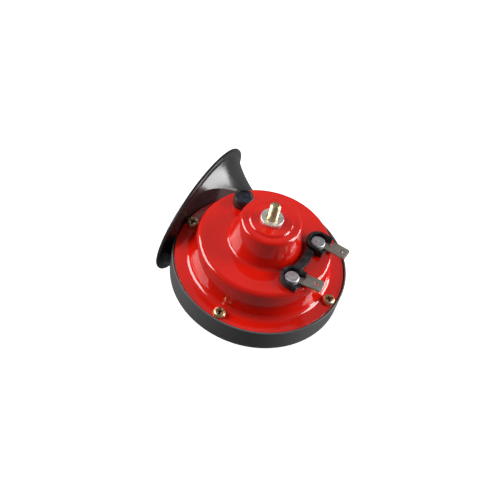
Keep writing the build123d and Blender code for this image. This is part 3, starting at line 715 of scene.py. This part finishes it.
def beadSolid(b, around):
    # the thickened lip round the mouth, drawn as a rounded oval plate
    form = bmesh.new()
    rings = []
    plate = [
        (0, 0, 0), (b["beadPlate"], 0, b["beadRound"]),
        (b["beadPlate"], b["beadDepth"], b["beadRound"]), (0, b["beadDepth"], 0),
    ]
    for reach, depth in roundedPath(plate, b["beadSteps"]):
        inset = b["beadPlate"] - reach
        width, height = b["halfWidth"] - inset, b["halfHeight"] - inset
        ring = []
        for index in range(around):
            turn = 2 * math.pi * index / around
            y, z = b["mouthY"] - width * math.cos(turn), b["mouthZ"] + height * math.sin(turn)
            ring.append(form.verts.new((b["mouthX"] + depth, y, z)))
        rings.append(ring)
    bridge(form, rings)
    return fromBmesh("bead", form)


def bellEdge(c, b, distance):
    # the low-y side of the bell, its bead included, at a distance from the channel's exit
    growth = b["widthGrowth"]
    across = (math.exp(-growth * distance / b["mouthX"]) - 1) / (math.exp(growth) - 1)
    outer = c["exit"] + c["wall"]
    centreY = c["exitY"] + (b["mouthY"] - c["exitY"]) * across
    return centreY - outer - (b["halfWidth"] - b["beadRise"] - outer) * across - b["beadRise"]


def seamPrism(name, c, b, s, inset):
    # the room of the back half: all below the seam plane and clear of the bell's side
    far = s["reach"]
    outline = [(-s["neck"] + inset, far)]
    for distance in (s["neck"], s["bend"], -b["mouthX"]):
        outline.append((inset - distance, bellEdge(c, b, distance) - s["clearance"] - inset))
    outline += [(-far, outline[-1][1]), (-far, -far), (far, -far), (far, far)]
    form = bmesh.new()
    heights = (s["z"] - inset, s["z"] - far)
    bridge(form, [[form.verts.new((x, y, z)) for x, y in outline] for z in heights])
    return fromBmesh(name, form)


def makeTrumpet(c, b, d, s):
    tree = bellTree()
    seat, floorTop, floorUnder = (flangeTop + d[key] for key in ("seat", "floorTop", "floorUnder"))
    lipTop, foot = flangeTop + d["lipRise"], flangeTop - d["skirtDepth"]
    front = skinSolid("trumpetShell", c["wall"], -c["blind"] - c["wall"], 0, c, b, tree)
    air = skinSolid("air", 0.0, -c["blind"], b["overrun"], c, b, tree)
    core = cylinder("core", d["bellWall"], floorUnder, s["reach"], d["around"])
    bead = beadSolid(b, c["around"])
    ring = turned("dish", [
        (0, floorTop, 0), (d["chamber"], floorTop, 0), (d["chamber"], seat, 0),
        (d["lipIn"], seat, 0), (d["lipIn"], lipTop, d["lipInRound"]),
        (d["lip"], lipTop, d["lipRound"]), (d["skirtFoot"], foot, d["footRound"]),
        (d["skirtFoot"] - d["skirtWall"], foot, d["footInRound"]),
        (d["skirtRoot"], floorUnder, d["rootRound"]), (0, floorUnder, 0),
    ], segments=d["around"], steps=d["roundSteps"])
    keepOut = cylinder("keepOut", d["lipIn"], seat, s["reach"], d["around"])
    chamber = cylinder("chamber", d["chamber"], floorTop, s["reach"], d["around"])
    combine(air, "DIFFERENCE", core)
    combine(front, "UNION", bead, ring)
    combine(front, "DIFFERENCE", keepOut, chamber, air)
    back = meshObject("trumpetBackShell", front.data.copy())
    room = seamPrism("room", c, b, s, 0)
    inner = seamPrism("inner", c, b, s, s["gap"])
    combine(front, "DIFFERENCE", room)
    combine(back, "INTERSECT", inner)
    discard(air, core, bead, ring, keepOut, chamber, room, inner)
    for piece, name in ((front, "trumpet_body"), (back, "trumpet_back")):
        dress(piece, finishes["black_moulding"], trumpetCrease)
        standsFor(piece, name)
        print("  ", name, len(piece.data.polygons), "faces")


makeTrumpet(channel, bell, dish, seam)
print("stage: trumpet made")

# a rim screw's head is cut with a cross recess, then the screw is set round the flange
screw = {
    "count": 4, "circle": 37.0, "head": 2.9, "rise": 2.1, "dome": 1.1, "underRound": 0.2,
    "shank": 1.45, "length": 6.0, "tipRound": 0.3, "around": 64, "seed": 7, "mostTurn": math.pi,
    "recess": 4.4, "slot": 1.25, "depth": 1.75, "footLength": 0.45, "footWidth": 0.7, "over": 0.2,
    # the last two keys bound the painted shade in the cross recess
    "edge": 0.06, "edgeSegments": 2, "edgeAngle": 45, "recessShadeOver": 0.1, "recessShadeUnder": 0.12,
}


def ringTree():
    # copies an object round a circle, each turned by its own random angle
    sheet, given = startTree(
        "ringOfCopies", count="Int", radius="Float", height="Float", seed="Int", mostTurn="Float",
        copy="Object",
    )
    circle = sheet.node("GeometryNodeMeshCircle", None, {
        "Vertices": given["count"], "Radius": given["radius"],
    })
    lift = sheet.node("ShaderNodeCombineXYZ", None, {"Z": given["height"]})
    raised = sheet.node("GeometryNodeSetPosition", None, {
        "Geometry": circle.outputs[0], "Offset": lift.outputs[0],
    })
    angle = sheet.node("FunctionNodeRandomValue", {"data_type": "FLOAT"}, {
        "Seed": given["seed"], 3: given["mostTurn"],
    })
    turn = sheet.node("ShaderNodeCombineXYZ", None, {"Z": angle.outputs[1]})
    source = sheet.node("GeometryNodeObjectInfo", None, {"Object": given["copy"]})
    copies = sheet.node("GeometryNodeInstanceOnPoints", None, {
        "Points": raised.outputs[0], "Instance": source.outputs["Geometry"],
        "Rotation": turn.outputs[0],
    })
    return endTree(sheet, copies.outputs[0], given["material"])


def crossCutter(s):
    # two crossing bars that narrow towards the foot of the recess
    reach, wide = s["recess"] / 2, s["slot"] / 2
    bars = []
    for name, along in (("slotOne", False), ("slotTwo", True)):
        form = bmesh.new()
        rings = []
        for x, y, z in ((reach * s["footLength"], wide * s["footWidth"], s["rise"] - s["depth"]),
                        (reach, wide, s["rise"] + s["over"])):
            corners = [(x, y), (-x, y), (-x, -y), (x, -y)]
            if not along:
                corners = [(y, x) for x, y in corners]
            rings.append([form.verts.new((*corner, z)) for corner in corners])
        bridge(form, rings)
        bars.append(fromBmesh(name, form))
    return bars


def markRecess(piece, s):
    # painted shade: the head is marked for darkening wherever it lies deeper than its own dome
    flat = s["head"] - s["dome"]
    marks = piece.data.attributes.new("recessShade", "FLOAT", "POINT")
    for vertex, mark in zip(piece.data.vertices, marks.data):
        x, y, z = vertex.co / mm
        reach = math.hypot(x, y)
        fall = max(reach - flat, 0)
        top = s["rise"] - s["dome"] + math.sqrt(max(s["dome"] ** 2 - fall ** 2, 0))
        sunk = reach < s["recess"] / 2 + s["recessShadeOver"] and 0 < z < top - s["recessShadeUnder"]
        mark.value = 1.0 if sunk else 0.0


def makeScrews(s):
    one = turned("oneScrew", [
        (0, s["rise"], 0), (s["head"], s["rise"], s["dome"]), (s["head"], 0, s["underRound"]),
        (s["shank"], 0, 0), (s["shank"], -s["length"], s["tipRound"]), (0, -s["length"], 0),
    ], segments=s["around"])
    cutters = crossCutter(s)
    combine(one, "DIFFERENCE", *cutters)
    soften(one, s["edge"], s["edgeSegments"], s["edgeAngle"])
    markRecess(one, s)
    piece = grown(meshObject("rimScrews"), ringTree(), {
        "count": s["count"], "radius": s["circle"] * mm, "height": flangeTop * mm,
        "seed": s["seed"], "mostTurn": s["mostTurn"], "copy": one,
        "material": finishes["yellow_zinc"],
    })
    discard(one, *cutters)
    dress(piece, finishes["yellow_zinc"])
    standsFor(piece, "rim_screws")


makeScrews(screw)
print("stage: screws made")

# the stud is the pole inside, a neck through the cover and a threaded end
stud = {
    "core": 5.5, "coreUnder": flangeTop + 10.2, "coreTop": -2.5, "neck": 2.64, "neckRise": 0.1,
    "neckSlope": 0.1, "radius": 2.45, "length": 8.4, "runIn": 0.4, "chamfer": 0.7,
    "pitch": 0.8, "depth": 0.30, "flank": 2.6, "around": 72, "perTurn": 14, "crease": 50,
}


def threadTree():
    # a grid rolled round the axis, its radius falling and rising once a turn
    names = ("radius", "depth", "pitch", "flank", "low", "high", "chamfer")
    sheet, size = startTree("threadRun", **dict.fromkeys(names, "Float"), rows="Int", around="Int")
    grid, share, part = unitGrid(sheet, size["rows"], size["around"])
    turn = part * (2 * math.pi)
    z = size["low"] + (size["high"] - size["low"]) * share
    phase = z / size["pitch"] - part
    groove = phase - phase.maths("FLOOR", phase) - 0.5
    valley = 1 - groove.maths("ABSOLUTE", groove) * size["flank"]
    valley = valley.maths("MAXIMUM", valley, 0.0)
    fade = (z - size["low"]) / size["pitch"]
    fade = fade.maths("MINIMUM", fade, 1.0)
    full = size["radius"] - size["depth"] * valley * fade
    tip = size["radius"] - size["chamfer"] + (size["high"] - z)
    radius = full.maths("MINIMUM", full, tip)
    x, y = radius * turn.maths("COSINE", turn), radius * turn.maths("SINE", turn)
    return endTree(sheet, bent(sheet, grid, x, y, z), size["material"])


def makeStud(s):
    turns = (s["length"] - s["runIn"]) / s["pitch"]
    thread = grown(meshObject("thread"), threadTree(), {
        "radius": s["radius"], "depth": s["depth"], "pitch": s["pitch"], "flank": s["flank"],
        "low": s["runIn"], "high": s["length"], "chamfer": s["chamfer"],
        "rows": int(turns * s["perTurn"]), "around": s["around"] + 1,
        "material": finishes["yellow_zinc"],
    })
    form = bmesh.new()
    form.from_mesh(thread.data)
    discard(thread)
    spun(form, [
        (0, s["coreUnder"]), (s["core"], s["coreUnder"]), (s["core"], s["coreTop"]),
        (s["neck"], s["coreTop"]), (s["neck"], s["neckRise"]),
        (s["radius"], s["neckRise"] + s["neckSlope"]), (s["radius"], s["runIn"]),
    ], segments=s["around"])
    bmesh.ops.remove_doubles(form, verts=form.verts, dist=joinGap)
    closeHoles(form)
    piece = fromBmesh("fixingStud", form)
    dress(piece, finishes["yellow_zinc"], s["crease"])
    standsFor(piece, "pole_stud")


makeStud(stud)

washer = {
    "radius": 5.25, "bore": 2.74, "thickness": 1.5, "round": 0.3, "underRound": 0.1, "around": 96,
}


def makeWasher(w):
    piece = turned("studWasher", [
        (w["bore"], 0, w["round"]), (w["bore"], -w["thickness"], w["underRound"]),
        (w["radius"], -w["thickness"], w["round"]), (w["radius"], 0, w["round"]),
    ], closed=True, segments=w["around"])
    dress(piece, finishes["bright_steel"])
    standsFor(piece, "stud_washer")


makeWasher(washer)
print("stage: stud and washer made")

# the terminals and the collar keep their nodes' own forms, with their edges broken
brokenEdges = {
    "terminalBase": {"node": "terminal_insulator", "width": 0.22, "segments": 3},
    "bladeTab1": {"node": "terminal_tab_1", "width": 0.08, "segments": 2},
    "bladeTab2": {"node": "terminal_tab_2", "width": 0.08, "segments": 2},
    "rivetHead1": {"node": "terminal_rivet_1", "width": 0.08, "segments": 2},
    "rivetHead2": {"node": "terminal_rivet_2", "width": 0.08, "segments": 2},
    "adjusterCollar": {"node": "adjuster_collar", "width": 0.3, "segments": 3},
}


def copied(name, node):
    # a node's own form, its triangles joined and its flats made whole
    piece = meshObject(name, nodes[node].data.copy())
    form = bmesh.new()
    form.from_mesh(piece.data)
    bmesh.ops.remove_doubles(form, verts=form.verts, dist=copyGap)
    flat = math.radians(flatAngle)
    bmesh.ops.dissolve_limit(form, angle_limit=flat, verts=form.verts, edges=form.edges)
    return piece, form


def softened(name, b):
    piece, form = copied(name, b["node"])
    form.to_mesh(piece.data)
    form.free()
    soften(piece, b["width"], b["segments"])
    dress(piece, finishes[slotOf[b["node"]]])
    standsFor(piece, b["node"])


for name, edges in brokenEdges.items():
    softened(name, edges)

seal = {
    "radius": 3.35, "low": flangeTop + 19.9, "rise": 0.8, "meniscus": 0.35, "curl": 4, "rings": 16,
    "around": 64, "crease": 40,
}


def makeSeal(s):
    # setting compound, drawn up where it meets the collar
    low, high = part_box("adjuster_seal")
    centre = ((low[0] + high[0]) / 2 / mm, (low[1] + high[1]) / 2 / mm)
    form = bmesh.new()
    top = []
    for step in range(s["rings"] + 1):
        share = step / s["rings"]
        sag = s["meniscus"] * (1 - share ** s["curl"])
        top.append((s["radius"] * share, s["low"] + s["rise"] - sag))
    spun(form, top + [(s["radius"], s["low"]), (0, s["low"])], segments=s["around"], centre=centre)
    piece = fromBmesh("sealCompound", form)
    dress(piece, sealResin, s["crease"])
    standsFor(piece, "adjuster_seal")


makeSeal(seal)
print("stage: terminals and adjuster made")

# inside, the diaphragm is made in sectors and the breaker's blade and contact are cut across in
# bands
diaphragm = {
    "sectors": 12, "steps": 5, "bore": 2.1, "hub": 6.4, "clamp": 33.6, "rings": 8, "bead": 21.5,
    "beadWidth": 3.0, "beadCrest": 0.5, "beadRise": 0.6, "sheet": 0.3,
    "holeCircle": 37.0, "hole": 1.7, "holeAround": 32, "drill": 2.0,
}
blade = {"start": (-17.65, -0.47, -23.6), "end": (-13.20, 2.77, -23.6), "cuts": 10}


def sprung(piece, node):
    # takes its node's finish, hides the node and bakes its placing into the mesh
    dress(piece, finishes[slotOf[node]])
    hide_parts(node)
    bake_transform(piece)


def diaphragmSection(d, under, outer):
    half = d["beadWidth"] / 2
    web = d["bead"] - half - d["hub"]
    crest, foot = d["beadCrest"], d["bead"] + half
    line = [(d["bore"], 0)]
    line += [(d["hub"] + web * index / d["rings"], 0) for index in range(d["rings"] + 1)]
    line += [(d["bead"] - crest, d["beadRise"]), (d["bead"] + crest, d["beadRise"])]
    line += [(foot, 0), ((foot + d["clamp"]) / 2, 0), (d["clamp"], 0), (outer, 0)]
    bottom = [(reach, under + rise) for reach, rise in line]
    return bottom + [(reach, z + d["sheet"]) for reach, z in reversed(bottom)]


def makeDiaphragm(d):
    low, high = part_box("diaphragm")
    section = diaphragmSection(d, low[2] / mm, high[0] / mm)
    level = section[0][1]
    arc = 2 * math.pi / d["sectors"]
    for index in range(d["sectors"]):
        heading = arc * index
        way = Vector((math.cos(heading), math.sin(heading), 0))
        form = bmesh.new()
        rows = []
        for step in range(d["steps"] + 1):
            turn = heading + arc * (step / d["steps"] - 0.5)
            x, y = math.cos(turn), math.sin(turn)
            rows.append([form.verts.new((reach * x, reach * y, z)) for reach, z in section])
        bridge(form, rows)
        piece = fromBmesh(f"diaphragmSector{index + 1}", form)
        if index % (d["sectors"] // screw["count"]) == 0:
            drill = cylinder(
                "drill", d["hole"], level - d["drill"], level + d["drill"], d["holeAround"],
                (way.x * d["holeCircle"], way.y * d["holeCircle"]),
            )
            combine(piece, "DIFFERENCE", drill)
            discard(drill)
        sprung(piece, "diaphragm")


def makeBlade(name, node, b):
    piece, form = copied(name, node)
    start, end = Vector(b["start"]) * mm, Vector(b["end"]) * mm
    for index in range(b["cuts"] + 1):
        every = list(form.verts) + list(form.edges) + list(form.faces)
        place = start.lerp(end, index / b["cuts"])
        bmesh.ops.bisect_plane(form, geom=every, plane_co=place, plane_no=end - start)
    bmesh.ops.triangulate(form, faces=form.faces)
    form.to_mesh(piece.data)
    form.free()
    sprung(piece, node)


makeDiaphragm(diaphragm)
makeBlade("bladeSpring", "breaker_blade", blade)
makeBlade("bladeContact", "moving_contact", blade)
print("stage: springs made")

studio = {
    "floor": (0.97, 0.97, 0.97), "mirrored": (0.16, 0.16, 0.16), "bounce": (0.10, 0.10, 0.10),
    "unlit": (0.0, 0.0, 0.0), "near": (0.64, 0.64, 0.64), "far": (1.0, 1.0, 1.0),
    "litReach": 0.5, "paleReach": 2.2, "floorHalf": 6.0, "floorDrop": 0.0005, "sky": 0.10,
    "shader": {"Emission Strength": 1.0, "Roughness": 1.0},
}
lights = {
    "leftBox": {"aim": (-0.82, -0.22, 0.53), "away": 0.9, "size": (0.72, 0.48), "power": 8.6},
    "rightBox": {"aim": (0.71, 0.38, 0.60), "away": 0.9, "size": (0.32, 0.38), "power": 3.7},
    "backBox": {"aim": (0.80, 0.60, 0.05), "away": 1.1, "size": (0.8, 0.45), "power": 14},
    "hoodBox": {"aim": (-0.19, 0.60, 0.77), "away": 1.2, "size": (1.0, 1.0), "power": 0.5},
}
lightTarget = (0, 5, -40)
camera = {
    "eye": (124.509, -406.532, 491.81), "right": (0.85274272, 0.49339104, 0.1714501),
    "up": (-0.4850354, 0.62617521, 0.61044678), "back": (0.19383117, -0.60371341, 0.77327847),
    "lens": 104.4, "sensor": 36.0,
}


def writePaper(sheet, look):
    # bright to the eye, dimmer in a gloss, and little of its light is thrown back at the horn
    path = sheet.node("ShaderNodeLightPath")
    seen = sheet.signal(path, "Is Camera Ray")
    dimmed = sheet.blend(sheet.signal(path, "Is Diffuse Ray"), look["mirrored"], look["bounce"])
    place = sheet.node("ShaderNodeTexCoord").outputs["Object"]
    reach = sheet.node("ShaderNodeVectorMath", {"operation": "LENGTH"}, {0: place})
    share = sheet.span(sheet.signal(reach, "Value"), look["litReach"], look["paleReach"])
    glow = sheet.blend(share, look["near"], look["far"])
    return {
        "Base Color": sheet.blend(seen, dimmed, look["floor"]),
        "Emission Color": sheet.blend(seen, look["unlit"], glow),
    }


def makeFloor(s):
    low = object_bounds()[0]
    form = bmesh.new()
    bmesh.ops.create_grid(form, x_segments=1, y_segments=1, size=s["floorHalf"])
    floor = fromBmesh("studioFloor", form, 1.0)
    floor.data.transform(Matrix.Translation((0, 0, low[2] - s["floorDrop"])))
    floor.data.materials.append(material("paper", writePaper, s))
    floor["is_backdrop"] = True


def makeLight(name, box):
    data = bpy.data.lights.new(name, "AREA")
    data.shape = "RECTANGLE"
    data.size, data.size_y = box["size"]
    data.energy = box["power"]
    light = bpy.data.objects.new(name, data)
    bpy.context.scene.collection.objects.link(light)
    aim = Vector(box["aim"]).normalized()
    light.location = Vector(lightTarget) * mm + aim * box["away"]
    light.rotation_euler = aim.to_track_quat("Z", "Y").to_euler()


def makeSky(strength):
    world = bpy.data.worlds.new("studioAir")
    bpy.context.scene.world = world
    world.use_nodes = True
    world.node_tree.nodes.clear()
    sheet = Sheet(world.node_tree)
    seen = sheet.signal(sheet.node("ShaderNodeLightPath"), "Is Camera Ray")
    air = sheet.node("ShaderNodeBackground", None, {
        "Color": (1.0, 1.0, 1.0, 1.0), "Strength": strength + seen * (1.0 - strength),
    })
    sheet.node("ShaderNodeOutputWorld", None, {"Surface": air.outputs[0]})


def makeCamera(c):
    data = bpy.data.cameras.new("view")
    data.sensor_width = c["sensor"]
    data.lens = c["lens"]
    eye = bpy.data.objects.new("view", data)
    bpy.context.scene.collection.objects.link(eye)
    turn = Matrix((c["right"], c["up"], c["back"])).transposed().to_4x4()
    eye.matrix_world = Matrix.Translation(Vector(c["eye"]) * mm) @ turn
    bpy.context.scene.camera = eye
    bpy.context.scene.view_settings.view_transform = "Standard"


makeFloor(studio)
for name, box in lights.items():
    makeLight(name, box)
makeSky(studio["sky"])
makeCamera(camera)
print("stage: studio made")
